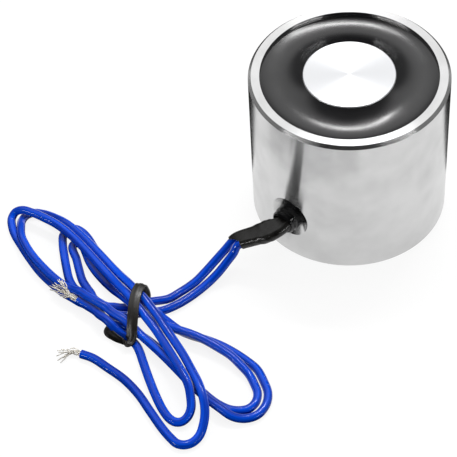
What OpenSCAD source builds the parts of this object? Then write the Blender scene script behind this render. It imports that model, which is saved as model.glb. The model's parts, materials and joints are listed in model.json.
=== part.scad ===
// Holding electromagnet: a plated steel pot with a flush centre pole, a wound coil potted in black resin
// and two blue leads that leave the side through a grommet and lie bundled in a twist tie.
// Frame: Z runs along the pole, Z = 0 is the back face, and the leads leave the pot along -Y.

/* [Pot] */
// Outside diameter of the steel pot
pot_d = 50; // [46:0.5:60]
// Height from the back face to the pole face
pot_h = 44; // [38:0.5:60]
// Thickness of the pot's side wall
wall_t = 2.85; // [2:0.05:4]
// Thickness of the pot's base
base_t = 8; // [6:0.5:10]
// Chamfer round the pole face
rim_chamfer = 0.75; // [0.2:0.05:1.2]
// Chamfer round the back face
back_chamfer = 0.5; // [0.2:0.05:1.2]

/* [Pole core] */
// Diameter of the centre pole
pole_d = 23.1; // [18:0.1:26]
// Break on the edge of the pole's face
pole_break = 0.2; // [0.1:0.05:0.6]
// Diameter of the spigot that is riveted into the base
spigot_d = 14; // [10:0.5:17]
// Thread of the mounting hole in the back
thread_d = 4; // [3:0.5:6]
// Pitch of that thread
thread_pitch = 0.7; // [0.5:0.05:1]
// Depth of the tapped hole
thread_depth = 12; // [8:0.5:20]
// Countersink at the mouth of the tapped hole
thread_sink = 0.6; // [0.2:0.1:1]

/* [Coil] */
// Gap between the pole and the bobbin's tube
bobbin_gap = 0.15; // [0.05:0.05:0.4]
// Thickness of the bobbin's tube and flanges
bobbin_t = 1.2; // [0.8:0.1:2]
// Gap between the bobbin's flanges and the pot's wall
flange_gap = 0.4; // [0.2:0.05:0.8]
// Depth of the bobbin's upper flange below the pole face
coil_drop = 6; // [4:0.5:10]
// Thickness of the resin between the coil and the pot's wall
coil_cover = 2.85; // [1.5:0.05:4]
// Thickness of the tape round the winding
wrap_t = 0.3; // [0.1:0.05:0.6]

/* [Potting resin] */
// Depth of the resin below the pole face at the pole
resin_drop_pole = 0.2; // [0.1:0.05:1]
// Depth of the resin at the lowest part of its hollow, midway between the pole and the wall
resin_drop_mid = 2.3; // [1.8:0.1:3]
// Depth of the resin below the pole face at the pot's wall
resin_drop_wall = 1.6; // [0.3:0.05:1.7]

/* [Lead exit] */
// Height of the lead hole above the pot's floor
exit_rise = 5.5; // [5:0.1:8]
// Diameter of the lead hole through the wall
exit_d = 7.5; // [6.5:0.1:8]
// Diameter of the countersink round the lead hole
exit_sink_d = 12; // [10:0.5:13]
// Diameter of the grommet's outer collar
collar_d = 7; // [6.8:0.1:7.4]
// Depth of the groove between the grommet's two beads
collar_groove = 0.4; // [0.2:0.05:0.45]
// Length of the grommet that stands out of the pot
collar_out = 2.6; // [2:0.1:3.5]

/* [Leads] */
// Diameter of a lead over its insulation
lead_d = 2.2; // [1.6:0.05:2.2]
// Distance between the two leads where they leave the pot
lead_pitch = 2.4; // [2.35:0.05:2.5]
// Diameter of the bared conductor
strand_d = 1.3; // [0.8:0.05:1.4]
// Wall of the heat-shrink sleeve
sleeve_t = 0.3; // [0.2:0.05:0.35]
// Room between the leads and the sleeve's bore
sleeve_gap = 0.2; // [0.18:0.01:0.22]
// Width of the twist tie
tie_w = 2.3; // [1.6:0.1:2.6]
// Thickness of the twist tie
tie_t = 0.7; // [0.4:0.05:0.7]

/* [Hidden] */
$fn = 96;
// Radial room left between turned, wound and cast pieces that fit in each other
fit = 0.02;
// Amount by which a cut runs past the face that it opens
past = 1;

pot_r = pot_d / 2;
bore_r = pot_r - wall_t;
pole_r = pole_d / 2;
spigot_r = spigot_d / 2;
tap_r = (thread_d - thread_pitch) / 2;
coil_top = pot_h - coil_drop;
tube_in_r = pole_r + bobbin_gap;
tube_r = tube_in_r + bobbin_t;
flange_r = bore_r - flange_gap;
wrap_r = bore_r - coil_cover;
winding_r = wrap_r - wrap_t;
spool_low = base_t + bobbin_t;
spool_top = coil_top - bobbin_t;
exit_z = base_t + exit_rise;
exit_r = exit_d / 2;
grommet_in = bore_r + fit;
grommet_out = pot_r + collar_out;
collar_r = collar_d / 2;
lead_r = lead_d / 2;
sleeve_bore_r = lead_r + sleeve_gap;
sleeve_r = sleeve_bore_r + sleeve_t;
lead_start = wrap_r + fit;
// Number of sides of a swept lead, and of steps round one end of the sleeve
cord_sides = 8;
sleeve_steps = 6;
// Straight run of the leads past the grommet
straight_out = 1.2;
bend_start = grommet_out + straight_out;

// Routes of the leads from the sleeve to their bared ends, laid out by hand on the surface
lead_a_lay = [
    [-3.1, -30.4, 12.7], [-5.8, -32.8, 10.7], [-9, -35.6, 8.6], [-10, -38.7, 6.4], [-10.7, -41.9, 4.6],
    [-11.3, -45.3, 3], [-11.9, -48.6, 1.8], [-13.1, -52.8, 1.15], [-14.2, -56.5, 1.15], [-16.4, -59.4, 1.4],
    [-18.4, -62.1, 1.9], [-19.6, -64.5, 1.95], [-21.1, -66.1, 1.95], [-23, -66.8, 1.5], [-25, -67.7, 1.15],
    [-29, -67.8, 1.15], [-31, -66.9, 1.15], [-33, -66.2, 1.15], [-35.5, -65.1, 1.15], [-38.9, -62.7, 1.15],
    [-41.7, -60.6, 1.15], [-43.3, -59.7, 1.15], [-44.6, -58.8, 1.15], [-45.2, -57.9, 1.15],
    [-45, -56.9, 1.15], [-44.1, -56.3, 1.15], [-43.1, -56.5, 1.15], [-41, -57.7, 1.15], [-38, -59.5, 1.15],
    [-34.6, -60.9, 1.15], [-31, -61.9, 1.15], [-27.2, -62.9, 1.8], [-23.2, -64, 3.4], [-19.5, -64.9, 4.4],
    [-16.2, -65.2, 4.1], [-12.9, -65.2, 3.6], [-9.2, -64.8, 3.4], [-5.2, -63.9, 3.4], [-1.6, -62.8, 3.3],
    [2.5, -61.9, 3], [6.4, -61.5, 2.6], [10.1, -61.4, 2.4], [13.6, -61.9, 1.9], [16.7, -62.5, 1.3],
    [19.5, -63.9, 1.15], [22, -65.7, 1.15], [23.2, -68, 1.15], [23.1, -70.3, 1.15], [21.8, -72.1, 1.15],
    [19.6, -73.4, 1.15], [16.2, -73.9, 1.15], [12.2, -73.6, 1.15], [7.3, -72.6, 1.15], [1.6, -71.2, 1.15],
    [-3.9, -70.1, 1.15], [-8.6, -69.5, 1.15], [-11, -69.4, 1.15], [-14, -69.4, 1.2], [-17, -69.9, 1.6],
    [-19, -70.6, 1.95], [-21, -71.1, 1.95], [-23, -71, 1.5], [-25, -70.4, 1.15], [-29, -70.4, 1.15],
    [-31, -70.8, 1.15], [-33.5, -70.9, 1.15], [-37.1, -71, 1.15], [-41.4, -70.5, 1.15], [-46, -69.6, 1.15],
    [-51.2, -67.9, 1.15], [-55.8, -66.1, 1.15], [-59.7, -64.4, 1.15], [-62.3, -62.7, 1.15],
    [-64.1, -60.9, 1.4], [-64.1, -59.2, 2.4], [-62.3, -58.2, 3.5], [-59.5, -57.6, 3.9], [-55.7, -57.1, 4],
    [-51.1, -56.8, 4], [-45.6, -57.4, 4], [-40.1, -58.6, 4], [-34.3, -60.1, 4], [-28.7, -61.7, 4.4],
    [-23.9, -63.3, 5.5], [-20, -64.6, 6.7], [-15.9, -65.8, 6.5], [-12.1, -66.9, 5.9], [-8.2, -68, 5.3],
    [-4.2, -69.6, 5.1], [0.4, -71.6, 5.2], [4.9, -73.7, 5.3], [8.8, -75.7, 4.9], [11.1, -77.6, 3.8],
    [12.8, -79.6, 2.7], [13.3, -81.6, 1.8], [12.8, -83.2, 1.3], [11.6, -84.1, 1.15], [9.8, -84.2, 1.15],
    [6.8, -83.2, 1.15], [2.5, -80.9, 1.15], [-1.7, -78.3, 1.15], [-6.5, -75.1, 1.15], [-9, -73.4, 1.15],
    [-11, -72.4, 1.15], [-14, -71.9, 1.25], [-17, -72.4, 2.2], [-19, -72.5, 3.5], [-21, -72.3, 3.9],
    [-23, -72.1, 3.6], [-25, -71.6, 3.2], [-29, -71.6, 3.1], [-30.8, -71.7, 3.2],
];
lead_b_lay = [
    [0, -31.7, 12.7], [-3.7, -34.4, 10.7], [-7.1, -37.1, 8.6], [-7.3, -38.4, 7], [-7.8, -40.6, 5.2],
    [-8.3, -43.4, 3.4], [-9.1, -46.6, 1.8], [-10, -51.7, 1.15], [-11.1, -56.3, 1.15], [-12.8, -60.1, 1.15],
    [-15.1, -62.8, 1.3], [-17, -65.2, 1.7], [-18.5, -67.3, 1.95], [-21, -68.7, 2], [-23, -68.9, 2.7],
    [-25, -69, 3.2], [-29, -69.1, 3.1], [-31, -69, 2.7], [-33, -68.7, 1.7], [-35.5, -68.2, 1.15],
    [-38.2, -67, 1.15], [-41.5, -64.5, 1.15], [-44.6, -61.9, 1.15], [-47.7, -59.1, 1.15],
    [-49.5, -56.9, 1.15], [-49.7, -54.9, 1.15], [-48.6, -53.4, 1.15], [-46.4, -53.1, 1.15],
    [-43.8, -53.7, 1.15], [-39.8, -55.4, 1.15], [-35.6, -57.1, 1.15], [-31.1, -58.9, 1.4],
    [-26.1, -60.8, 2.4], [-21.5, -62, 3.7], [-18, -62.7, 4.3], [-14.9, -62.9, 3.8], [-12.2, -62.9, 3.3],
    [-9.3, -62.7, 2.3], [-5.2, -62.4, 1.2], [-1.7, -61.7, 1.15], [1.9, -60.6, 1.15], [5.7, -59.8, 1.15],
    [9.6, -59.5, 1.15], [13.8, -59.6, 1.15], [17.3, -60.1, 1.15], [21, -62, 1.15], [24, -64.2, 1.15],
    [25.7, -67.3, 1.15], [25.8, -70.6, 1.15], [24.2, -73.2, 1.2], [21.8, -75, 2], [18.2, -75.4, 2.9],
    [13.6, -75.1, 3], [8.3, -74.2, 3], [2.7, -72.9, 3], [-2.8, -71.7, 3], [-7.4, -70.9, 3],
    [-11, -70.4, 3.2], [-14, -69.9, 3.5], [-17, -69.7, 3.9], [-19, -69.8, 4.1], [-21, -69.9, 4.2],
    [-23, -70, 4.9], [-25, -70.2, 5.2], [-29, -70.3, 5], [-31, -70.2, 4.9], [-34, -70.3, 4],
    [-36.5, -70.4, 3.5], [-40.3, -70.1, 3.4], [-44.8, -69.3, 3.4], [-49.5, -68.1, 3.4], [-53.6, -66.5, 3.4],
    [-56.8, -64.7, 3.2], [-59.3, -62.3, 2.6], [-61.3, -60, 1.5], [-61.9, -57.8, 1.15], [-61, -55.9, 1.15],
    [-58.4, -54.6, 1.3], [-54.5, -54.4, 2.3], [-50.1, -54.7, 3.4], [-45.7, -55.2, 3.4], [-41, -56.1, 3.4],
    [-36.1, -57.3, 3.5], [-31.3, -58.6, 3.7], [-27, -59.9, 4.5], [-22.9, -61.2, 5.8], [-19.4, -62.3, 6.6],
    [-16.1, -63, 6.5], [-12.8, -64, 6.1], [-9.4, -65.1, 5.8], [-5.9, -66.5, 5.5], [-2.2, -67.9, 5.2],
    [2.1, -69.7, 5.2], [6.9, -72.1, 5.3], [11, -74.3, 5.4], [13.9, -76.3, 5], [16.3, -78.5, 3.9],
    [17.9, -80.9, 2.8], [18.9, -83.7, 1.7], [18.7, -86, 1.2], [17.6, -87.8, 1.15], [15.9, -88.6, 1.15],
    [14, -88.4, 1.15], [10.5, -87.5, 1.15], [5, -85.5, 1.15], [-0.9, -83.3, 1.15], [-6.5, -82.1, 1.15],
    [-11.9, -81.9, 1.15], [-16.8, -81.9, 1.15], [-20, -82.7, 1.15],
];
// Bared strands: place, then width and height of the fan as shares of the conductor's diameter
bare_a_lay = [[-33.5, -71.9, 3.2, 1, 1], [-36.5, -72.6, 3.1, 1.5, 0.7], [-39.3, -73, 2.9, 2, 0.4]];
bare_b_lay = [[-21.8, -83.8, 1, 1, 1], [-23.6, -85.4, 0.9, 1.3, 0.8], [-25, -87, 0.8, 1.8, 0.6]];
// Twist tie: place of the band, then the direction of its width
tie_lay = [
    [[-19.2, -59.2, 3], [1, 0.3, 0]], [[-19.1, -59.8, 5.4], [1, 0.4, 0]],
    [[-18.7, -60.9, 7.8], [1, 0.4, 0]], [[-17.8, -63.3, 8.4], [1, 0.4, 0]],
    [[-16.4, -66.1, 8], [1, 0.4, 0]], [[-14.6, -68.8, 6.9], [1, 0.4, 0]],
    [[-13.1, -71.1, 5], [1, 0.4, 0]], [[-12.1, -73, 2.8], [1, 0.3, 0]],
    [[-12.6, -74, 1.5], [1, 0, 0.3]], [[-14.8, -74.2, 1.4], [0.4, -0.2, 1]],
    [[-17.3, -74.2, 1.4], [0, -0.2, 1]], [[-19.1, -73.4, 1], [0.6, 0.3, 0.6]],
    [[-19.9, -71.7, 0.45], [1, 0, 0]], [[-19.8, -65, 0.4], [1, 0, 0]],
    [[-19.5, -60.5, 0.5], [1, 0, 0]], [[-19.3, -59.2, 1.2], [1, 0.2, 0]],
];

// Sweeping a closed outline along a route

function unit(v) = v / norm(v);
function run_at(p, i) = unit(p[min(i + 1, len(p) - 1)] - p[max(i - 1, 0)]);
function level_side(run) = unit(cross(run, [0, 0, 1]));
function square_side(side, run) = unit(side - (side * run) * run);
function ring(at, run, side, outline) = [for (q = outline) at + q.x * side + q.y * cross(run, side)];
function round_outline(r, sides) = [
    for (k = [0 : sides - 1])
        let (a = 360 * k / sides)
            [r * cos(a), r * sin(a)],
];

// Two round lobes joined side by side, as a sleeve shrunk over two wires
function twin_outline(r, pitch, steps) = [
    for (end = [0, 1], k = [0 : steps])
        let (a = 180 * end - 90 + 180 * k / steps)
            [(end == 0 ? 1 : -1) * pitch / 2 + r * cos(a), r * sin(a)],
];

function skin(a, b, sides) = [
    for (k = [0 : sides - 1])
        let (
            n = (k + 1) % sides,
            from = a * sides,
            to = b * sides
        )
            each [[from + k, to + n, from + n], [from + k, to + k, to + n]],
];

// A solid through a list of rings, closed by flat ends
module swept(rings) {
    sides = len(rings[0]);
    last = len(rings) - 1;
    first_cap = [for (k = [0 : sides - 1]) k];
    last_cap = [for (k = [sides - 1 : -1 : 0]) last * sides + k];
    polyhedron(
        points = [for (r = rings) each r],
        faces = concat([first_cap, last_cap], [for (i = [0 : last - 1]) each skin(i, i + 1, sides)])
    );
}

// A solid through a list of rings that closes on itself
module swept_loop(rings) {
    sides = len(rings[0]);
    count = len(rings);
    polyhedron(
        points = [for (r = rings) each r],
        faces = [for (i = [0 : count - 1]) each skin(i, (i + 1) % count, sides)]
    );
}

function lead_route(side, lay) = concat(
    [[side * lead_pitch / 2, -lead_start, exit_z], [side * lead_pitch / 2, -bend_start, exit_z]],
    lay
);
lead_a_route = lead_route(-1, lead_a_lay);
lead_b_route = lead_route(1, lead_b_lay);

function lead_rings(route) = [
    for (i = [0 : len(route) - 1])
        let (run = run_at(route, i))
            ring(route[i], run, level_side(run), round_outline(lead_r, cord_sides)),
];

// Profile of revolution round Z, cut back by a chamfer at each outer edge
module turned_bar(r, h, low_chamfer, top_chamfer) {
    rotate_extrude()
        polygon([
            [0, 0], [r - low_chamfer, 0], [r, low_chamfer],
            [r, h - top_chamfer], [r - top_chamfer, h], [0, h],
        ]);
}

module ring_bar(r_out, r_in, low, high) {
    translate([0, 0, low])
        difference() {
            cylinder(r = r_out, h = high - low);
            translate([0, 0, -past])
                cylinder(r = r_in, h = high - low + 2 * past);
        }
}

// Turns a shape modelled along Z to run out of the pot along the lead exit
module along_exit() {
    translate([0, 0, exit_z])
        rotate([90, 0, 0])
            children();
}

// Deep pot with the spigot's hole in its base and the countersunk lead hole in its side
module pot() {
    color("silver")
        difference() {
            turned_bar(pot_r, pot_h, back_chamfer, rim_chamfer);
            translate([0, 0, base_t])
                cylinder(r = bore_r, h = pot_h);
            translate([0, 0, -past])
                cylinder(r = spigot_r, h = base_t + 2 * past);
            along_exit() {
                translate([0, 0, pole_r])
                    cylinder(r = exit_r, h = pot_r);
                sink = exit_sink_d / 2 - exit_r;
                translate([0, 0, pot_r - sink])
                    cylinder(r1 = exit_r, r2 = exit_r + 2 * sink, h = 2 * sink);
            }
        }
}

// Turned core: the pole, its spigot in the base and the tapped mounting hole
module pole_core() {
    color("lightgray")
        difference() {
            union() {
                translate([0, 0, base_t])
                    turned_bar(pole_r, pot_h - base_t, 0, pole_break);
                cylinder(r = spigot_r - fit, h = base_t + past);
            }
            translate([0, 0, -past])
                cylinder(r = tap_r, h = thread_depth + past);
            translate([0, 0, -past])
                cylinder(r1 = tap_r + thread_sink + past, r2 = tap_r, h = thread_sink + past);
        }
}

// Spool with a flange at each end
module coil_bobbin() {
    color("ivory")
        difference() {
            union() {
                translate([0, 0, base_t])
                    cylinder(r = tube_r, h = coil_top - base_t);
                translate([0, 0, base_t])
                    cylinder(r = flange_r, h = bobbin_t);
                translate([0, 0, spool_top])
                    cylinder(r = flange_r, h = bobbin_t);
            }
            translate([0, 0, base_t - past])
                cylinder(r = tube_in_r, h = coil_top - base_t + 2 * past);
        }
}

module coil_winding() {
    color("chocolate")
        ring_bar(winding_r - fit, tube_r + fit, spool_low, spool_top);
}

module coil_wrap() {
    color("gold")
        ring_bar(wrap_r, winding_r, spool_low, spool_top);
}

// Resin cast round the coil, with a hollow top that climbs to the pole and to the wall
function arc_centre(a, b, c) =
    let (
        ab = b - a,
        ac = c - a,
        twice = 2 * (ab.x * ac.y - ab.y * ac.x),
        ux = (ac.y * (ab * ab) - ab.y * (ac * ac)) / twice,
        uy = (ab.x * (ac * ac) - ac.x * (ab * ab)) / twice
    )
    a + [ux, uy];

module potting_resin() {
    pole_edge = [pole_r + fit, pot_h - resin_drop_pole];
    hollow = [(pole_r + bore_r) / 2, pot_h - resin_drop_mid];
    wall_edge = [bore_r - fit, pot_h - resin_drop_wall];
    centre = arc_centre(pole_edge, hollow, wall_edge);
    hollow_r = norm(pole_edge - centre);
    color([0.05, 0.05, 0.06])
        difference() {
            union() {
                ring_bar(bore_r - fit, pole_r + fit, coil_top, pot_h);
                ring_bar(bore_r - fit, flange_r + fit, base_t, coil_top + fit);
                ring_bar(flange_r + 2 * fit, wrap_r + fit, spool_low, spool_top);
            }
            rotate_extrude()
                translate(centre)
                    circle(r = hollow_r, $fn = 240);
            along_exit()
                for (side = [-1, 1])
                    translate([side * lead_pitch / 2, 0, pole_r])
                        cylinder(r = lead_r + fit, h = pot_r);
        }
}

// Moulded grommet with two beads, and a bore that takes the sleeve
module cable_grommet() {
    bead = (grommet_out - pot_r) / 2;
    back = grommet_in;
    groove_r = collar_r - collar_groove;
    front_r = collar_r - collar_groove / 2;
    round_in = bead / 4;
    color([0.08, 0.08, 0.08])
        along_exit()
            difference() {
                rotate_extrude()
                    polygon([
                        [0, back], [collar_r, back], [collar_r, pot_r + bead - round_in],
                        [collar_r - round_in, pot_r + bead],
                        [groove_r, pot_r + bead], [groove_r, pot_r + bead + round_in],
                        [front_r, pot_r + bead + 2 * round_in], [front_r, grommet_out - round_in],
                        [front_r - round_in, grommet_out], [0, grommet_out],
                    ]);
                translate([0, 0, back - past]) {
                    for (side = [-1, 1])
                        translate([side * lead_pitch / 2, 0, 0])
                            cylinder(r = sleeve_r + fit, h = grommet_out);
                    translate([-lead_pitch / 2, -sleeve_r - fit, 0])
                        cube([lead_pitch, 2 * (sleeve_r + fit), grommet_out]);
                }
            }
}

// Sleeve shrunk over both leads, from inside the grommet to its open end
module heat_shrink_sleeve() {
    sleeve_end = 4;
    // The run goes on one point past the sleeve, so that its end is cut square to the leads
    axis = concat(
        [[0, -grommet_in, exit_z]],
        [for (i = [1 : sleeve_end + 1]) (lead_a_route[i] + lead_b_route[i]) / 2]
    );
    sides = [for (i = [0 : sleeve_end]) lead_b_route[i] - lead_a_route[i]];
    function sleeve_rings(route, r) = [
        for (i = [0 : sleeve_end])
            let (
                run = run_at(axis, i),
                outline = twin_outline(r, norm(sides[i]), sleeve_steps)
            )
                ring(route[i], run, square_side(sides[i], run), outline),
    ];
    bore_axis = [
        for (i = [0 : sleeve_end])
            axis[i] + (i == 0 ? -past : i == sleeve_end ? past : 0) * run_at(axis, i),
    ];
    color([0.1, 0.1, 0.1])
        difference() {
            swept(sleeve_rings(axis, sleeve_r));
            swept(sleeve_rings(bore_axis, sleeve_bore_r));
        }
}

module lead_a() {
    color("royalblue")
        swept(lead_rings(lead_a_route));
}

module lead_b() {
    color("royalblue")
        swept(lead_rings(lead_b_route));
}

// Bared strands that fan out from the end of a lead's insulation
module bare_end(route, lay) {
    tip = route[len(route) - 1];
    places = concat([tip], [for (p = lay) [p[0], p[1], p[2]]]);
    spread = concat([[1, 1]], [for (p = lay) [p[3], p[4]]]);
    strand_r = strand_d / 2;
    color("silver")
        swept([
            for (i = [0 : len(places) - 1])
                let (
                    run = i == 0 ? run_at(route, len(route) - 1) : run_at(places, i),
                    wide = spread[i].x,
                    high = spread[i].y,
                    outline = [for (q = round_outline(strand_r, cord_sides)) [q.x * wide, q.y * high]]
                )
                    ring(places[i], run, level_side(run), outline),
        ]);
}

module bare_end_a() {
    bare_end(lead_a_route, bare_a_lay);
}

module bare_end_b() {
    bare_end(lead_b_route, bare_b_lay);
}

// Flat band with thin edges, bent round the bundle
module twist_tie() {
    edge = tie_t / 4;
    flat = tie_w / 2 - tie_t / 2;
    outline = [
        [tie_w / 2, -edge], [tie_w / 2, edge], [flat, tie_t / 2], [-flat, tie_t / 2],
        [-tie_w / 2, edge], [-tie_w / 2, -edge], [-flat, -tie_t / 2], [flat, -tie_t / 2],
    ];
    count = len(tie_lay);
    color([0.12, 0.12, 0.12])
        swept_loop([
            for (i = [0 : count - 1])
                let (run = unit(tie_lay[(i + 1) % count][0] - tie_lay[(i + count - 1) % count][0]))
                    ring(tie_lay[i][0], run, square_side(tie_lay[i][1], run), outline),
        ]);
}

pot();
pole_core();
coil_bobbin();
coil_winding();
coil_wrap();
potting_resin();
cable_grommet();
heat_shrink_sleeve();
lead_a();
lead_b();
bare_end_a();
bare_end_b();
twist_tie();
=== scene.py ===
import json
import math

import bmesh
import bpy
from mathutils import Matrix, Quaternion, Vector


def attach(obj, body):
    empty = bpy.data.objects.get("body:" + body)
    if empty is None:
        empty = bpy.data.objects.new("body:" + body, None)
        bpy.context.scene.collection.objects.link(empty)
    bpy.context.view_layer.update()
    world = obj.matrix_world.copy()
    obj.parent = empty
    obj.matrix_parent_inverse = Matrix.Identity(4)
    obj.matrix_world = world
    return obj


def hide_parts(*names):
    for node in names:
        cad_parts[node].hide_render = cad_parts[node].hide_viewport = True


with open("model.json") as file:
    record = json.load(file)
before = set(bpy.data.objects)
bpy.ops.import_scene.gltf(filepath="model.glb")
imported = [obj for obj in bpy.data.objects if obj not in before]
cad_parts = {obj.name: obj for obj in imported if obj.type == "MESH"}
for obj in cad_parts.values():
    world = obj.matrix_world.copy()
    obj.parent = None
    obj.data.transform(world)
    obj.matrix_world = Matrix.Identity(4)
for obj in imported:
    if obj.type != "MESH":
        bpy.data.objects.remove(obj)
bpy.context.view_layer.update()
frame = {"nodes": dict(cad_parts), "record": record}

MM = 0.001

# Camera and view

def place_camera():
    """Stands where the photograph was taken: to the right of the lead exit, looking down at 49 degrees."""
    eye = Vector((204.0, -273.7, 381.8)) * MM
    aim = Vector((-17.5, -28.5, 0.0)) * MM
    data = bpy.data.cameras.new("camera")
    data.sensor_width = 36
    data.lens = 153.4
    data.clip_start = 0.01
    camera = bpy.data.objects.new("camera", data)
    camera.location = eye
    camera.rotation_mode = "QUATERNION"
    level = (aim - eye).to_track_quat("-Z", "Y")
    camera.rotation_quaternion = level @ Quaternion((0, 0, 1), math.radians(-3.77))
    bpy.context.scene.collection.objects.link(camera)
    bpy.context.scene.camera = camera


bpy.context.scene.view_settings.view_transform = "Standard"
place_camera()

# Leads: the routes of the part's source, from the coil to the end of the insulation

LEAD_R = 1.1
LEAD_A = [
    (-1.2, -19.32, 13.5), (-1.2, -28.8, 13.5), (-3.1, -30.4, 12.7), (-5.8, -32.8, 10.7),
    (-9, -35.6, 8.6), (-10, -38.7, 6.4), (-10.7, -41.9, 4.6), (-11.3, -45.3, 3), (-11.9, -48.6, 1.8),
    (-13.1, -52.8, 1.15), (-14.2, -56.5, 1.15), (-16.4, -59.4, 1.4), (-18.4, -62.1, 1.9),
    (-19.6, -64.5, 1.95), (-21.1, -66.1, 1.95), (-23, -66.8, 1.5), (-25, -67.7, 1.15), (-29, -67.8, 1.15),
    (-31, -66.9, 1.15), (-33, -66.2, 1.15), (-35.5, -65.1, 1.15), (-38.9, -62.7, 1.15), (-41.7, -60.6, 1.15),
    (-43.3, -59.7, 1.15), (-44.6, -58.8, 1.15), (-45.2, -57.9, 1.15), (-45, -56.9, 1.15),
    (-44.1, -56.3, 1.15), (-43.1, -56.5, 1.15), (-41, -57.7, 1.15), (-38, -59.5, 1.15), (-34.6, -60.9, 1.15),
    (-31, -61.9, 1.15), (-27.2, -62.9, 1.8), (-23.2, -64, 3.4), (-19.5, -64.9, 4.4), (-16.2, -65.2, 4.1),
    (-12.9, -65.2, 3.6), (-9.2, -64.8, 3.4), (-5.2, -63.9, 3.4), (-1.6, -62.8, 3.3), (2.5, -61.9, 3),
    (6.4, -61.5, 2.6), (10.1, -61.4, 2.4), (13.6, -61.9, 1.9), (16.7, -62.5, 1.3), (19.5, -63.9, 1.15),
    (22, -65.7, 1.15), (23.2, -68, 1.15), (23.1, -70.3, 1.15), (21.8, -72.1, 1.15), (19.6, -73.4, 1.15),
    (16.2, -73.9, 1.15), (12.2, -73.6, 1.15), (7.3, -72.6, 1.15), (1.6, -71.2, 1.15), (-3.9, -70.1, 1.15),
    (-8.6, -69.5, 1.15), (-11, -69.4, 1.15), (-14, -69.4, 1.2), (-17, -69.9, 1.6), (-19, -70.6, 1.95),
    (-21, -71.1, 1.95), (-23, -71, 1.5), (-25, -70.4, 1.15), (-29, -70.4, 1.15), (-31, -70.8, 1.15),
    (-33.5, -70.9, 1.15), (-37.1, -71, 1.15), (-41.4, -70.5, 1.15), (-46, -69.6, 1.15), (-51.2, -67.9, 1.15),
    (-55.8, -66.1, 1.15), (-59.7, -64.4, 1.15), (-62.3, -62.7, 1.15), (-64.1, -60.9, 1.4),
    (-64.1, -59.2, 2.4), (-62.3, -58.2, 3.5), (-59.5, -57.6, 3.9), (-55.7, -57.1, 4), (-51.1, -56.8, 4),
    (-45.6, -57.4, 4), (-40.1, -58.6, 4), (-34.3, -60.1, 4), (-28.7, -61.7, 4.4), (-23.9, -63.3, 5.5),
    (-20, -64.6, 6.7), (-15.9, -65.8, 6.5), (-12.1, -66.9, 5.9), (-8.2, -68, 5.3), (-4.2, -69.6, 5.1),
    (0.4, -71.6, 5.2), (4.9, -73.7, 5.3), (8.8, -75.7, 4.9), (11.1, -77.6, 3.8), (12.8, -79.6, 2.7),
    (13.3, -81.6, 1.8), (12.8, -83.2, 1.3), (11.6, -84.1, 1.15), (9.8, -84.2, 1.15), (6.8, -83.2, 1.15),
    (2.5, -80.9, 1.15), (-1.7, -78.3, 1.15), (-6.5, -75.1, 1.15), (-9, -73.4, 1.15), (-11, -72.4, 1.15),
    (-14, -71.9, 1.25), (-17, -72.4, 2.2), (-19, -72.5, 3.5), (-21, -72.3, 3.9), (-23, -72.1, 3.6),
    (-25, -71.6, 3.2), (-29, -71.6, 3.1), (-30.8, -71.7, 3.2),
]
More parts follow.
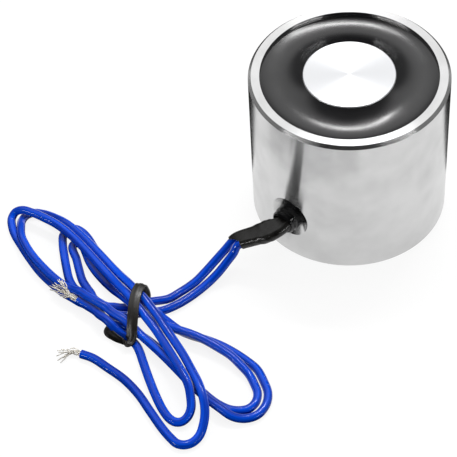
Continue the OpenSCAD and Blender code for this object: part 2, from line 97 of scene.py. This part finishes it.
LEAD_B = [
    (1.2, -19.32, 13.5), (1.2, -28.8, 13.5), (0, -31.7, 12.7), (-3.7, -34.4, 10.7), (-7.1, -37.1, 8.6),
    (-7.3, -38.4, 7), (-7.8, -40.6, 5.2), (-8.3, -43.4, 3.4), (-9.1, -46.6, 1.8), (-10, -51.7, 1.15),
    (-11.1, -56.3, 1.15), (-12.8, -60.1, 1.15), (-15.1, -62.8, 1.3), (-17, -65.2, 1.7), (-18.5, -67.3, 1.95),
    (-21, -68.7, 2), (-23, -68.9, 2.7), (-25, -69, 3.2), (-29, -69.1, 3.1), (-31, -69, 2.7),
    (-33, -68.7, 1.7), (-35.5, -68.2, 1.15), (-38.2, -67, 1.15), (-41.5, -64.5, 1.15), (-44.6, -61.9, 1.15),
    (-47.7, -59.1, 1.15), (-49.5, -56.9, 1.15), (-49.7, -54.9, 1.15), (-48.6, -53.4, 1.15),
    (-46.4, -53.1, 1.15), (-43.8, -53.7, 1.15), (-39.8, -55.4, 1.15), (-35.6, -57.1, 1.15),
    (-31.1, -58.9, 1.4), (-26.1, -60.8, 2.4), (-21.5, -62, 3.7), (-18, -62.7, 4.3), (-14.9, -62.9, 3.8),
    (-12.2, -62.9, 3.3), (-9.3, -62.7, 2.3), (-5.2, -62.4, 1.2), (-1.7, -61.7, 1.15), (1.9, -60.6, 1.15),
    (5.7, -59.8, 1.15), (9.6, -59.5, 1.15), (13.8, -59.6, 1.15), (17.3, -60.1, 1.15), (21, -62, 1.15),
    (24, -64.2, 1.15), (25.7, -67.3, 1.15), (25.8, -70.6, 1.15), (24.2, -73.2, 1.2), (21.8, -75, 2),
    (18.2, -75.4, 2.9), (13.6, -75.1, 3), (8.3, -74.2, 3), (2.7, -72.9, 3), (-2.8, -71.7, 3),
    (-7.4, -70.9, 3), (-11, -70.4, 3.2), (-14, -69.9, 3.5), (-17, -69.7, 3.9), (-19, -69.8, 4.1),
    (-21, -69.9, 4.2), (-23, -70, 4.9), (-25, -70.2, 5.2), (-29, -70.3, 5), (-31, -70.2, 4.9),
    (-34, -70.3, 4), (-36.5, -70.4, 3.5), (-40.3, -70.1, 3.4), (-44.8, -69.3, 3.4), (-49.5, -68.1, 3.4),
    (-53.6, -66.5, 3.4), (-56.8, -64.7, 3.2), (-59.3, -62.3, 2.6), (-61.3, -60, 1.5), (-61.9, -57.8, 1.15),
    (-61, -55.9, 1.15), (-58.4, -54.6, 1.3), (-54.5, -54.4, 2.3), (-50.1, -54.7, 3.4), (-45.7, -55.2, 3.4),
    (-41, -56.1, 3.4), (-36.1, -57.3, 3.5), (-31.3, -58.6, 3.7), (-27, -59.9, 4.5), (-22.9, -61.2, 5.8),
    (-19.4, -62.3, 6.6), (-16.1, -63, 6.5), (-12.8, -64, 6.1), (-9.4, -65.1, 5.8), (-5.9, -66.5, 5.5),
    (-2.2, -67.9, 5.2), (2.1, -69.7, 5.2), (6.9, -72.1, 5.3), (11, -74.3, 5.4), (13.9, -76.3, 5),
    (16.3, -78.5, 3.9), (17.9, -80.9, 2.8), (18.9, -83.7, 1.7), (18.7, -86, 1.2), (17.6, -87.8, 1.15),
    (15.9, -88.6, 1.15), (14, -88.4, 1.15), (10.5, -87.5, 1.15), (5, -85.5, 1.15), (-0.9, -83.3, 1.15),
    (-6.5, -82.1, 1.15), (-11.9, -81.9, 1.15), (-16.8, -81.9, 1.15), (-20, -82.7, 1.15),
]
# Place of the tie's band and the direction of its width
TIE = [
    ((-19.2, -59.2, 3), (1, 0.3, 0)), ((-19.1, -59.8, 5.4), (1, 0.4, 0)),
    ((-18.7, -60.9, 7.8), (1, 0.4, 0)), ((-17.8, -63.3, 8.4), (1, 0.4, 0)),
    ((-16.4, -66.1, 8), (1, 0.4, 0)), ((-14.6, -68.8, 6.9), (1, 0.4, 0)),
    ((-13.1, -71.1, 5), (1, 0.4, 0)), ((-12.3, -72.6, 3.2), (1, 0.3, 0)),
    ((-12.8, -73.5, 2.1), (1, 0, 0.3)), ((-14.8, -73.9, 1.8), (0.4, 0.1, 1)),
    ((-17.3, -74, 1.8), (0, 0.4, 1)), ((-19.1, -73.4, 1.4), (0.6, 0.5, 0.6)),
    ((-19.9, -71.7, 0.45), (1, 0, 0)), ((-19.8, -65, 0.4), (1, 0, 0)),
    ((-19.5, -60.5, 0.5), (1, 0, 0)), ((-19.3, -59.2, 1.2), (1, 0.2, 0)),
]
TIE_W = 2.8
TIE_T = 0.7


def smooth(points, steps, closed=False):
    """A rounded line through the points, with that many steps from each to the next."""
    p = [Vector(q) for q in points]
    count = len(p)
    if closed:
        p = [p[-1], *p, p[0], p[1]]
    else:
        p = [2 * p[0] - p[1], *p, 2 * p[-1] - p[-2]]
    line = []
    for i in range(1, count + (1 if closed else 0)):
        a, b, c, d = p[i - 1 : i + 3]
        tb = (b - a).length ** 0.5
        tc = tb + (c - b).length ** 0.5
        td = tc + (d - c).length ** 0.5
        for k in range(steps):
            t = tb + (tc - tb) * k / steps
            ab = a.lerp(b, t / tb)
            bc = b.lerp(c, (t - tb) / (tc - tb))
            cd = c.lerp(d, (t - tc) / (td - tc))
            abc = ab.lerp(bc, t / tc)
            bcd = bc.lerp(cd, (t - tb) / (td - tb))
            line.append(abc.lerp(bcd, (t - tb) / (tc - tb)))
    if not closed:
        line.append(p[-2])
    return line


def lay_lead(name, route):
    """An insulated lead as one round cord along its route."""
    line = smooth(route, 8)
    data = bpy.data.curves.new(name, "CURVE")
    data.dimensions = "3D"
    spline = data.splines.new("POLY")
    spline.points.add(len(line) - 1)
    for knot, p in zip(spline.points, line):
        knot.co = (*(p * MM), 1)
    spline.use_smooth = True
    data.bevel_depth = LEAD_R * MM
    data.bevel_resolution = 6
    data.use_fill_caps = True
    lead = bpy.data.objects.new(name, data)
    # The plating shows no blue of the leads; their reflection is painted instead, as one dark line, by a
    # black card under them
    lead.visible_glossy = False
    bpy.context.scene.collection.objects.link(lead)
    return lead


lead_a = lay_lead("blue_lead_a", LEAD_A)
lead_b = lay_lead("blue_lead_b", LEAD_B)

# Mesh pieces on the leads

def add_mesh(name, bm):
    mesh = bpy.data.meshes.new(name)
    bmesh.ops.recalc_face_normals(bm, faces=bm.faces)
    bm.to_mesh(mesh)
    bm.free()
    mesh.shade_smooth()
    piece = bpy.data.objects.new(name, mesh)
    bpy.context.scene.collection.objects.link(piece)
    return piece


def runs_of(line, closed=False):
    """The direction of a line at each of its points."""
    n = len(line)
    if closed:
        return [(line[(i + 1) % n] - line[i - 1]).normalized() for i in range(n)]
    return [(line[min(i + 1, n - 1)] - line[max(i - 1, 0)]).normalized() for i in range(n)]


def loft(bm, rings, closed_run=False, caps=False):
    """Skins rings of points in mm; each face's UV is the distance along and round the skin, in mm."""
    uv = bm.loops.layers.uv.verify()
    verts = [[bm.verts.new(p * MM) for p in ring] for ring in rings]
    sides = len(rings[0])
    total = len(rings)
    along = [0.0]
    for a, b in zip(rings, rings[1:] + rings[:1]):
        along.append(along[-1] + (b[0] - a[0]).length)
    round_at = [0.0]
    for a, b in zip(rings[0], rings[0][1:] + rings[0][:1]):
        round_at.append(round_at[-1] + (b - a).length)
    for i in range(total if closed_run else total - 1):
        j = (i + 1) % total
        for k in range(sides):
            n = (k + 1) % sides
            face = bm.faces.new((verts[i][k], verts[j][k], verts[j][n], verts[i][n]))
            spots = ((i, k), (i + 1, k), (i + 1, k + 1), (i, k + 1))
            for corner, (u, v) in zip(face.loops, spots):
                corner[uv].uv = (along[u], round_at[v])
    if caps:
        bm.faces.new(verts[0])
        bm.faces.new(reversed(verts[-1]))


# Sleeve: wall, play on the leads and widening at the open end in mm; depth of the creases as a share
# of its half width; place and spread of the creases, and cut-back of the slanted end, as shares of its length
SLEEVE_WALL = 0.3
SLEEVE_PLAY = 0.04
SLEEVE_FLARE = 0.08
CREASE_DEPTH = 0.028
CREASE_AT = 0.52
CREASE_SPREAD = 0.16
SLEEVE_SLANT = 0.14


def twin_outline(r, pitch, waist, steps=14):
    """Two round lobes side by side, drawn in a little between them, as a tube shrunk over two wires."""
    outline = []
    for end in (0, 1):
        for k in range(steps + 1):
            a = math.radians(180 * end - 90 + 180 * k / steps)
            outline.append(((1 if end == 0 else -1) * pitch / 2 + r * math.cos(a), r * math.sin(a)))
        outline.append((0.0, (r - waist) * (1 if end == 0 else -1)))
    return outline


def cut_aslant(rings, lean):
    """Draws a tube's rings back from its open end for a slanted cut, each point by its share in lean."""
    last = len(rings) - 1
    drawn = []
    for i in range(len(rings)):
        ring = []
        for k, share in enumerate(lean):
            at = i * (1 - SLEEVE_SLANT * share * (i / last) ** 3)
            before, after = rings[int(at)], rings[min(int(at) + 1, last)]
            ring.append(before[k].lerp(after[k], at % 1))
        drawn.append(ring)
    return drawn


def make_sleeve():
    """Heat-shrink sleeve over both leads, a little wider at its open end, where it shrank less."""
    steps = 10
    a, b = smooth(LEAD_A[:6], steps), smooth(LEAD_B[:6], steps)
    start = next(i for i, p in enumerate(a) if p.y < -22.2)
    end = 4 * steps + 2
    axis = [(p + q) / 2 for p, q in zip(a, b)]
    runs = runs_of(axis)
    outer, inner = [], []
    for i in range(start, end + 1):
        side = b[i] - a[i]
        pitch = side.length
        side = (side - side.dot(runs[i]) * runs[i]).normalized()
        over = side.cross(runs[i])
        t = (i - start) / (end - start)
        flare = SLEEVE_FLARE * t * t
        wide = twin_outline(LEAD_R + SLEEVE_WALL + flare, pitch, 0.28 - 0.2 * t)
        bore = twin_outline(LEAD_R + SLEEVE_PLAY + flare, pitch, 0.0)
        # Creased where it was pushed up to the grommet
        crease = CREASE_DEPTH * math.exp(-(((t - CREASE_AT) / CREASE_SPREAD) ** 2))
        swell = [1 + crease * math.sin(46 * t + 0.9 * k) for k in range(len(wide))]
        outer.append([axis[i] + s * (x * side + y * over) for s, (x, y) in zip(swell, wide)])
        inner.append([axis[i] + x * side + y * over for x, y in bore])
    lean = [min(max((1 + 2 * x / pitch) / 2, 0), 1) for x, _ in wide]
    outer, inner = cut_aslant(outer, lean), cut_aslant(inner, lean)
    # The cut end is slightly rounded between its two edges
    bulge = runs[end] * 0.06
    lip = [[p.lerp(q, s) + bulge for p, q in zip(outer[-1], inner[-1])] for s in (0.2, 0.8)]
    bm = bmesh.new()
    loft(bm, outer + lip + inner[::-1])
    return add_mesh("shrunk_sleeve", bm)


def make_tie():
    """Flat twist tie: a wire core under a ribbed plastic band with thin edges."""
    steps = 10
    line = smooth([p for p, _ in TIE], steps, closed=True)
    wide = [Vector(w).normalized() for _, w in TIE]
    across = [a.lerp(b, k / steps) for a, b in zip(wide, wide[1:] + wide[:1]) for k in range(steps)]
    outline = []
    half, core, thin = TIE_W / 2, TIE_T / 2, TIE_T / 4
    for x, y in ((1, 0.0), (0.97, 0.7), (0.85, 1), (0.55, 1), (0.4, 1.3), (0.2, 1.95)):
        outline.append((x * half, y * thin))
    outline.append((0.0, core))
    outline += [(-x, y) for x, y in reversed(outline[:-1])]
    outline += [(-x, -y) for x, y in outline[1:-1]]
    rings = []
    for p, run, width in zip(line, runs_of(line, closed=True), across):
        side = (width - width.dot(run) * run).normalized()
        over = side.cross(run)
        rings.append([p + x * side + y * over for x, y in outline])
    bm = bmesh.new()
    loft(bm, rings, closed_run=True)
    return add_mesh("twist_tie_band", bm)


def make_strands(name, route, tips, thick):
    """Bared strands: they leave the insulation as one bunch and fan out to their tips."""
    end = Vector(route[-1])
    run = (end - Vector(route[-2])).normalized()
    side = run.cross(Vector((0, 0, 1))).normalized()
    up = side.cross(run)
    bm = bmesh.new()
    for i, tip in enumerate(tips):
        turn = 2.4 * i
        out = 0.62 * math.sqrt((i + 0.5) / len(tips))
        root = end + out * (math.cos(turn) * side + math.sin(turn) * up) - 0.8 * run
        tip = Vector(tip)
        reach = (tip - root).length
        # Each strand strays a little its own way
        bend = root + run * reach * 0.45
        bend += 0.25 * math.sin(1.7 * i) * side + 0.12 * math.cos(2.3 * i) * up
        knee = bend.lerp(tip, 0.6)
        knee += 0.3 * math.sin(2.9 * i + 1) * side + 0.15 * math.sin(1.3 * i) * up
        knee.z = max(knee.z, thick)
        line = smooth([root, root + 1.1 * run, bend, knee, tip], 4)
        rings = []
        for p, go in zip(line, runs_of(line)):
            x = go.cross(Vector((0, 0, 1))).normalized()
            y = x.cross(go)
            turns = [k * math.pi / 3 for k in range(6)]
            rings.append([p + thick * (math.cos(a) * x + math.sin(a) * y) for a in turns])
        loft(bm, rings, caps=True)
    return add_mesh(name, bm)


sleeve = make_sleeve()
tie = make_tie()
TIPS_A = [
    (-38.2, -71.0, 5.0), (-37.3, -70.2, 5.0), (-36.4, -70.3, 5.1), (-35.6, -70.6, 5.1), (-37.9, -70.6, 5.2),
    (-39.4, -71.9, 3.2), (-39.8, -72.5, 3.0), (-38.6, -72.2, 3.3), (-39.0, -73.2, 2.7), (-38.2, -73.0, 2.9),
    (-37.2, -72.9, 2.8), (-36.6, -71.9, 4.6), (-35.7, -72.0, 4.2), (-34.4, -73.2, 2.7), (-35.6, -73.1, 2.7),
    (-36.8, -71.3, 4.9), (-37.6, -71.6, 4.2), (-35.0, -71.3, 4.9), (-38.9, -71.4, 3.8), (-36.2, -72.6, 3.4),
    (-37.0, -70.8, 5.3), (-39.2, -72.7, 3.5),
]
TIPS_B = [
    (-24.5, -86.8, 1.0), (-23.6, -87.5, 0.6), (-24.6, -84.9, 1.6), (-24.6, -85.9, 1.4), (-23.9, -85.0, 1.2),
    (-23.2, -86.2, 0.8), (-22.7, -87.4, 0.3), (-23.1, -84.8, 1.6), (-25.1, -85.9, 1.8), (-23.3, -85.3, 0.8),
    (-23.7, -86.6, 0.4),
]
strands_a = make_strands("tinned_strands_a", LEAD_A, TIPS_A, 0.13)
strands_b = make_strands("tinned_strands_b", LEAD_B, TIPS_B, 0.12)

# Materials

def linear(code):
    """An sRGB hex colour as linear red, green, blue and alpha."""
    part = [int(code[i : i + 2], 16) / 255 for i in (1, 3, 5)]
    return (*[c / 12.92 if c <= 0.04045 else ((c + 0.055) / 1.055) ** 2.4 for c in part], 1.0)


def node(tree, kind, inputs=None, **settings):
    """Adds a node with its settings; an input takes a value, or another node's output to link."""
    made = tree.nodes.new(kind)
    for name, value in settings.items():
        setattr(made, name, value)
    for name, value in (inputs or {}).items():
        if isinstance(value, bpy.types.NodeSocket):
            tree.links.new(value, made.inputs[name])
        else:
            made.inputs[name].default_value = value
    return made


def start_material(name):
    material = bpy.data.materials.new(name)
    material.use_nodes = True
    tree = material.node_tree
    tree.nodes.clear()
    return material, tree


def finish_material(tree, **inputs):
    """Ends a material in one shader; names use _ for a space."""
    sockets = {name.replace("_", " "): value for name, value in inputs.items()}
    shader = node(tree, "ShaderNodeBsdfPrincipled", sockets)
    node(tree, "ShaderNodeOutputMaterial", {"Surface": shader.outputs["BSDF"]})


def plated_steel():
    """Nickel plate over turned steel: turning marks under it draw each reflection out across them."""
    material, tree = start_material("nickel_plated_turned_steel")
    spot = node(tree, "ShaderNodeTexCoord").outputs["Object"]
    # Hand marks and slight clouds in the plate, about 9 mm across
    cloud = node(tree, "ShaderNodeTexNoise", {"Vector": spot, "Scale": 1 / (9 * MM), "Detail": 4.0})
    tone = node(tree, "ShaderNodeMapRange", {0: cloud.outputs["Fac"], 1: 0.35, 2: 0.7}).outputs[0]
    colour = node(tree, "ShaderNodeMix", {"Factor": tone, "A": linear("#d0d0d0"), "B": linear("#c6c6c6")},
                  data_type="RGBA").outputs["Result"]
    rough = node(tree, "ShaderNodeMapRange", {0: tone, 3: 0.16, 4: 0.22}).outputs[0]
    # The turned wall is true to about 0.02 mm, in waves some 14 mm long
    wave = node(tree, "ShaderNodeTexNoise", {"Vector": spot, "Scale": 1 / (14 * MM), "Detail": 1.0})
    normal = node(tree, "ShaderNodeBump",
                  {"Height": wave.outputs["Fac"], "Strength": 0.25, "Distance": 0.02 * MM})
    around = node(tree, "ShaderNodeTangent", direction_type="RADIAL", axis="Z")
    finish_material(tree, Base_Color=colour, Metallic=1.0, Roughness=rough, Anisotropic=0.95,
                    Anisotropic_Rotation=0.25, Normal=normal.outputs[0], Tangent=around.outputs[0])
    return material


def faced_steel():
    """Steel faced on a lathe: fine rings spread the light into fans across the pole."""
    material, tree = start_material("face_turned_steel")
    spot = node(tree, "ShaderNodeTexCoord").outputs["Object"]
    flat = node(tree, "ShaderNodeVectorMath", {0: spot, 1: (1, 1, 0)}, operation="MULTIPLY").outputs[0]
    radius = node(tree, "ShaderNodeVectorMath", {0: flat}, operation="LENGTH").outputs["Value"]
    # Tool rings 0.35 mm apart, coarser than the real feed so that they show
    turns = node(tree, "ShaderNodeMath", {0: radius, 1: 2 * math.pi / (0.35 * MM)},
                 operation="MULTIPLY")
    rings = node(tree, "ShaderNodeMath", {0: turns.outputs[0]}, operation="SINE").outputs[0]
    normal = node(tree, "ShaderNodeBump", {"Height": rings, "Strength": 0.1, "Distance": 0.02 * MM})
    around = node(tree, "ShaderNodeTangent", direction_type="RADIAL", axis="Z")
    finish_material(tree, Base_Color=linear("#cfd0d2"), Metallic=1.0, Roughness=0.34, Anisotropic=0.65,
                    Anisotropic_Rotation=0.25, Normal=normal.outputs[0], Tangent=around.outputs[0])
    return material


def cast_resin():
    """Black epoxy cast in place: a deep gloss with slight waves from curing."""
    material, tree = start_material("cast_black_epoxy")
    spot = node(tree, "ShaderNodeTexCoord").outputs["Object"]
    wave = node(tree, "ShaderNodeTexNoise",
                {"Vector": spot, "Scale": 1 / (7 * MM), "Detail": 1.0}).outputs["Fac"]
    rough = node(tree, "ShaderNodeMapRange", {0: wave, 1: 0.3, 2: 0.7, 3: 0.2, 4: 0.26}).outputs[0]
    normal = node(tree, "ShaderNodeBump", {"Height": wave, "Strength": 0.05, "Distance": 0.3 * MM})
    finish_material(tree, Base_Color=linear("#0d0d0f"), Roughness=rough, IOR=1.55, Normal=normal.outputs[0])
    return material


def extruded_vinyl():
    """Blue vinyl drawn through a die round the wire: glossy, with faint lines along the lead."""
    material, tree = start_material("extruded_blue_vinyl")
    lie = node(tree, "ShaderNodeTexCoord").outputs["UV"]
    # Lines about 25 mm long and 1.2 mm wide on a lead 0.4 m long, coarser than the die leaves
    # them so that they show
    drawn = node(tree, "ShaderNodeVectorMath", {0: lie, 1: (16, 6, 0)}, operation="MULTIPLY").outputs[0]
    line = node(tree, "ShaderNodeTexNoise", {"Vector": drawn, "Scale": 1.0, "Detail": 3.0}).outputs["Fac"]
    depth = node(tree, "ShaderNodeMapRange", {0: line, 1: 0.35, 2: 0.65}).outputs[0]
    colour = node(tree, "ShaderNodeMix", {"Factor": depth, "A": linear("#002e9e"), "B": linear("#0052e2")},
                  data_type="RGBA").outputs["Result"]
    rough = node(tree, "ShaderNodeMapRange", {0: line, 1: 0.35, 2: 0.65, 3: 0.07, 4: 0.13}).outputs[0]
    normal = node(tree, "ShaderNodeBump", {"Height": line, "Strength": 0.2, "Distance": 0.02 * MM})
    finish_material(tree, Base_Color=colour, Roughness=rough, Specular_IOR_Level=0.25,
                    Normal=normal.outputs[0])
    return material


def plain_grain(name, hex_dark, hex_light, grain_mm, rough_low, rough_high, bump_mm, **more):
    """A moulded or drawn surface with a fine grain in its colour, gloss and height."""
    material, tree = start_material(name)
    spot = node(tree, "ShaderNodeTexCoord").outputs["Object"]
    grain = node(tree, "ShaderNodeTexNoise",
                 {"Vector": spot, "Scale": 1 / (grain_mm * MM), "Detail": 4.0}).outputs["Fac"]
    ramp = node(tree, "ShaderNodeMapRange", {0: grain, 1: 0.3, 2: 0.7}).outputs[0]
    colour = node(tree, "ShaderNodeMix", {"Factor": ramp, "A": linear(hex_dark), "B": linear(hex_light)},
                  data_type="RGBA").outputs["Result"]
    rough = node(tree, "ShaderNodeMapRange",
                 {0: grain, 1: 0.3, 2: 0.7, 3: rough_low, 4: rough_high}).outputs[0]
    normal = node(tree, "ShaderNodeBump", {"Height": grain, "Strength": 0.3, "Distance": bump_mm * MM})
    finish_material(tree, Base_Color=colour, Roughness=rough, Normal=normal.outputs[0], **more)
    return material


finishes = {
    "plated_steel": plated_steel(),
    "turned_steel": faced_steel(),
    "potting_resin": cast_resin(),
    # Moulded: an even cream satin
    "bobbin_plastic": plain_grain("moulded_nylon", "#d2c9ae", "#ddd5bd", 1.5, 0.45, 0.55, 0.02),
    # Drawn wire under clear enamel: a warm metal gloss
    "copper_wire": plain_grain(
        "enamelled_copper", "#9c5a32", "#b4703f", 0.4, 0.3, 0.4, 0.05, Metallic=1.0),
    # Rolled film: smooth, with slow changes of gloss
    "coil_tape": plain_grain("polyester_tape", "#c9a43c", "#d6b450", 3.0, 0.3, 0.4, 0.02),
    # Moulded in a polished die: black, with small sharp lights
    "grommet_rubber": plain_grain(
        "moulded_nitrile_rubber", "#0f0f10", "#161617", 3.0, 0.08, 0.14, 0.004),
    # Shrunk by heat: black, uneven in gloss
    "sleeve_plastic": plain_grain(
        "shrunk_polyolefin", "#100f0e", "#1b1a18", 1.1, 0.16, 0.3, 0.05, Specular_IOR_Level=0.35),
    "lead_insulation": extruded_vinyl(),
    # Hot-dipped wire: a dull silver with some copper showing through
    "tinned_strands": plain_grain(
        "tinned_copper_strand", "#d9cfba", "#f4f3f1", 0.6, 0.3, 0.5, 0.02, Metallic=0.6),
    # Drawn over its wire: a half-matt black
    "tie_plastic": plain_grain("ribbed_vinyl_band", "#151311", "#221f1c", 0.7, 0.28, 0.42, 0.05),
}

for part in frame["record"]["subparts"]:
    shape = frame["nodes"][part["node"]].data
    shape.materials.clear()
    shape.materials.append(finishes[part["material_slot"]])

for piece, slot, stands_for in (
    (lead_a, "lead_insulation", "lead_a"),
    (lead_b, "lead_insulation", "lead_b"),
    (sleeve, "sleeve_plastic", "heat_shrink_sleeve"),
    (tie, "tie_plastic", "twist_tie"),
    (strands_a, "tinned_strands", "bare_end_a"),
    (strands_b, "tinned_strands", "bare_end_b"),
):
    piece.data.materials.append(finishes[slot])
    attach(piece, "root")
    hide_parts(stands_for)

# Studio, as seen from the camera: what lies behind the magnet and to its right

BACK = Vector((-0.602, 0.799, 0.0))
RIGHT = Vector((0.799, 0.602, 0.0))
FLAG_LIFT = Vector((0, 0, 0.02))


def make_table():
    """White table that shows white to the eye and in the plating, and keeps the soft shadow."""
    bm = bmesh.new()
    bmesh.ops.create_grid(bm, x_segments=1, y_segments=1, size=3.0)
    table = add_mesh("white_table", bm)
    material, tree = start_material("matt_white_table")
    path = node(tree, "ShaderNodeLightPath")
    mirrored = node(tree, "ShaderNodeMath",
                    {0: path.outputs["Is Glossy Ray"], 1: path.outputs["Is Transmission Ray"]},
                    operation="ADD").outputs[0]
    seen = node(tree, "ShaderNodeMath", {0: path.outputs["Is Camera Ray"], 1: mirrored},
                operation="ADD").outputs[0]
    glow = node(tree, "ShaderNodeMath", {0: seen, 1: 0.86}, operation="MULTIPLY").outputs[0]
    paper = node(tree, "ShaderNodeBsdfDiffuse", {"Color": linear("#707070")})
    light = node(tree, "ShaderNodeEmission", {"Color": (1, 1, 1, 1), "Strength": glow})
    white = node(tree, "ShaderNodeAddShader", {0: paper.outputs[0], 1: light.outputs[0]})
    node(tree, "ShaderNodeOutputMaterial", {"Surface": white.outputs[0]})
    table.data.materials.append(material)


def lay_flags():
    """Black cards on the table that only shiny surfaces show, as laid round bright metal in a studio, and one
    under the leads that paints their reflection in the plating as a dark line.
    """
    material, tree = start_material("black_velvet_card")
    velvet = node(tree, "ShaderNodeBsdfDiffuse", {"Color": linear("#0a0a0a")})
    node(tree, "ShaderNodeOutputMaterial", {"Surface": velvet.outputs[0]})
    # Corners in mm to the right of the magnet's axis and behind it
    for name, corners in (
        ("flag_behind_right", ((22, 4), (300, 160), (300, 400), (22, 400))),
        ("flag_behind_left", ((-22, 4), (-22, 400), (-300, 400), (-300, 160))),
        ("flag_in_front", ((-68, -12), (-58, -37), (-43, -58), (-15, -74), (10, -77),
                           (20, -110), (-110, -110), (-110, -5))),
        # Painted reflection: this black card under the leads puts a dark line in the plating where the leads'
        # own reflection would be
        ("painted_lead_reflection_card", ((-22, -23), (-27, -28), (-34, -35), (-41, -44), (-47, -40),
                              (-41, -29), (-31, -20), (-27, -16))),
    ):
        bm = bmesh.new()
        places = [x * RIGHT + y * BACK + FLAG_LIFT for x, y in corners]
        bm.faces.new([bm.verts.new(p * MM) for p in places])
        flag = add_mesh(name, bm)
        flag.visible_camera = flag.visible_diffuse = flag.visible_shadow = False
        flag.data.materials.append(material)


def add_softbox(name, aim, place, wide, deep, watts):
    data = bpy.data.lights.new(name, "AREA")
    data.shape = "RECTANGLE"
    data.size, data.size_y = wide, deep
    data.energy = watts
    lamp = bpy.data.objects.new(name, data)
    lamp.location = place
    lamp.rotation_mode = "QUATERNION"
    lamp.rotation_quaternion = (aim - place).to_track_quat("-Z", "Y")
    bpy.context.scene.collection.objects.link(lamp)
    return lamp


def light_room():
    """A bright card high behind, a dark room by the camera, a strip light, two low softboxes and a fill."""
    world = bpy.data.worlds.new("studio")
    world.use_nodes = True
    tree = world.node_tree
    tree.nodes.clear()
    way = node(tree, "ShaderNodeTexCoord").outputs["Generated"]
    front = node(tree, "ShaderNodeVectorMath", {0: way, 1: tuple(-BACK)},
                 operation="DOT_PRODUCT").outputs["Value"]
    rise = node(tree, "ShaderNodeSeparateXYZ", {0: way}).outputs["Z"]
    high = node(tree, "ShaderNodeMapRange", {0: rise, 1: 0.4, 2: 0.68},
                interpolation_type="SMOOTHSTEP").outputs[0]
    wall = node(tree, "ShaderNodeMapRange", {0: front, 1: 0.0, 2: -0.35},
                interpolation_type="SMOOTHSTEP").outputs[0]
    card = node(tree, "ShaderNodeMath", {0: high, 1: wall}, operation="MULTIPLY").outputs[0]
    room = node(tree, "ShaderNodeMapRange", {0: front, 1: 0.3, 2: 0.62, 3: 0.2, 4: 0.02}).outputs[0]
    level = node(tree, "ShaderNodeMath", {0: card, 1: 1.15, 2: room},
                 operation="MULTIPLY_ADD").outputs[0]
    seen = node(tree, "ShaderNodeLightPath").outputs["Is Camera Ray"]
    strength = node(tree, "ShaderNodeMix", {"Factor": seen, "A": level, "B": 1.0},
                    data_type="FLOAT").outputs[0]
    glow = node(tree, "ShaderNodeBackground", {"Color": (1, 1, 1, 1), "Strength": strength})
    node(tree, "ShaderNodeOutputWorld", {"Surface": glow.outputs[0]})
    bpy.context.scene.world = world
    top = Vector((0, 0, 0.02))
    behind = BACK * 0.25 + RIGHT * 0.05 + Vector((0, 0, 0.6))
    add_softbox("strip_light_behind", top, behind, 0.3, 0.05, 1.8)
    for name, side in (("softbox_left", -0.46), ("softbox_right", 0.46)):
        low = BACK * -0.39 + RIGHT * side + Vector((0, 0, 0.24))
        add_softbox(name, top, low, 0.4, 0.03, 1.0)
    # The lamp overhead fills in without a reflection of its own
    fill = add_softbox("softbox_overhead", top, BACK * -0.1 + Vector((0, 0, 0.7)), 0.4, 0.4, 0.75)
    fill.visible_glossy = False


make_table()
lay_flags()
light_room()
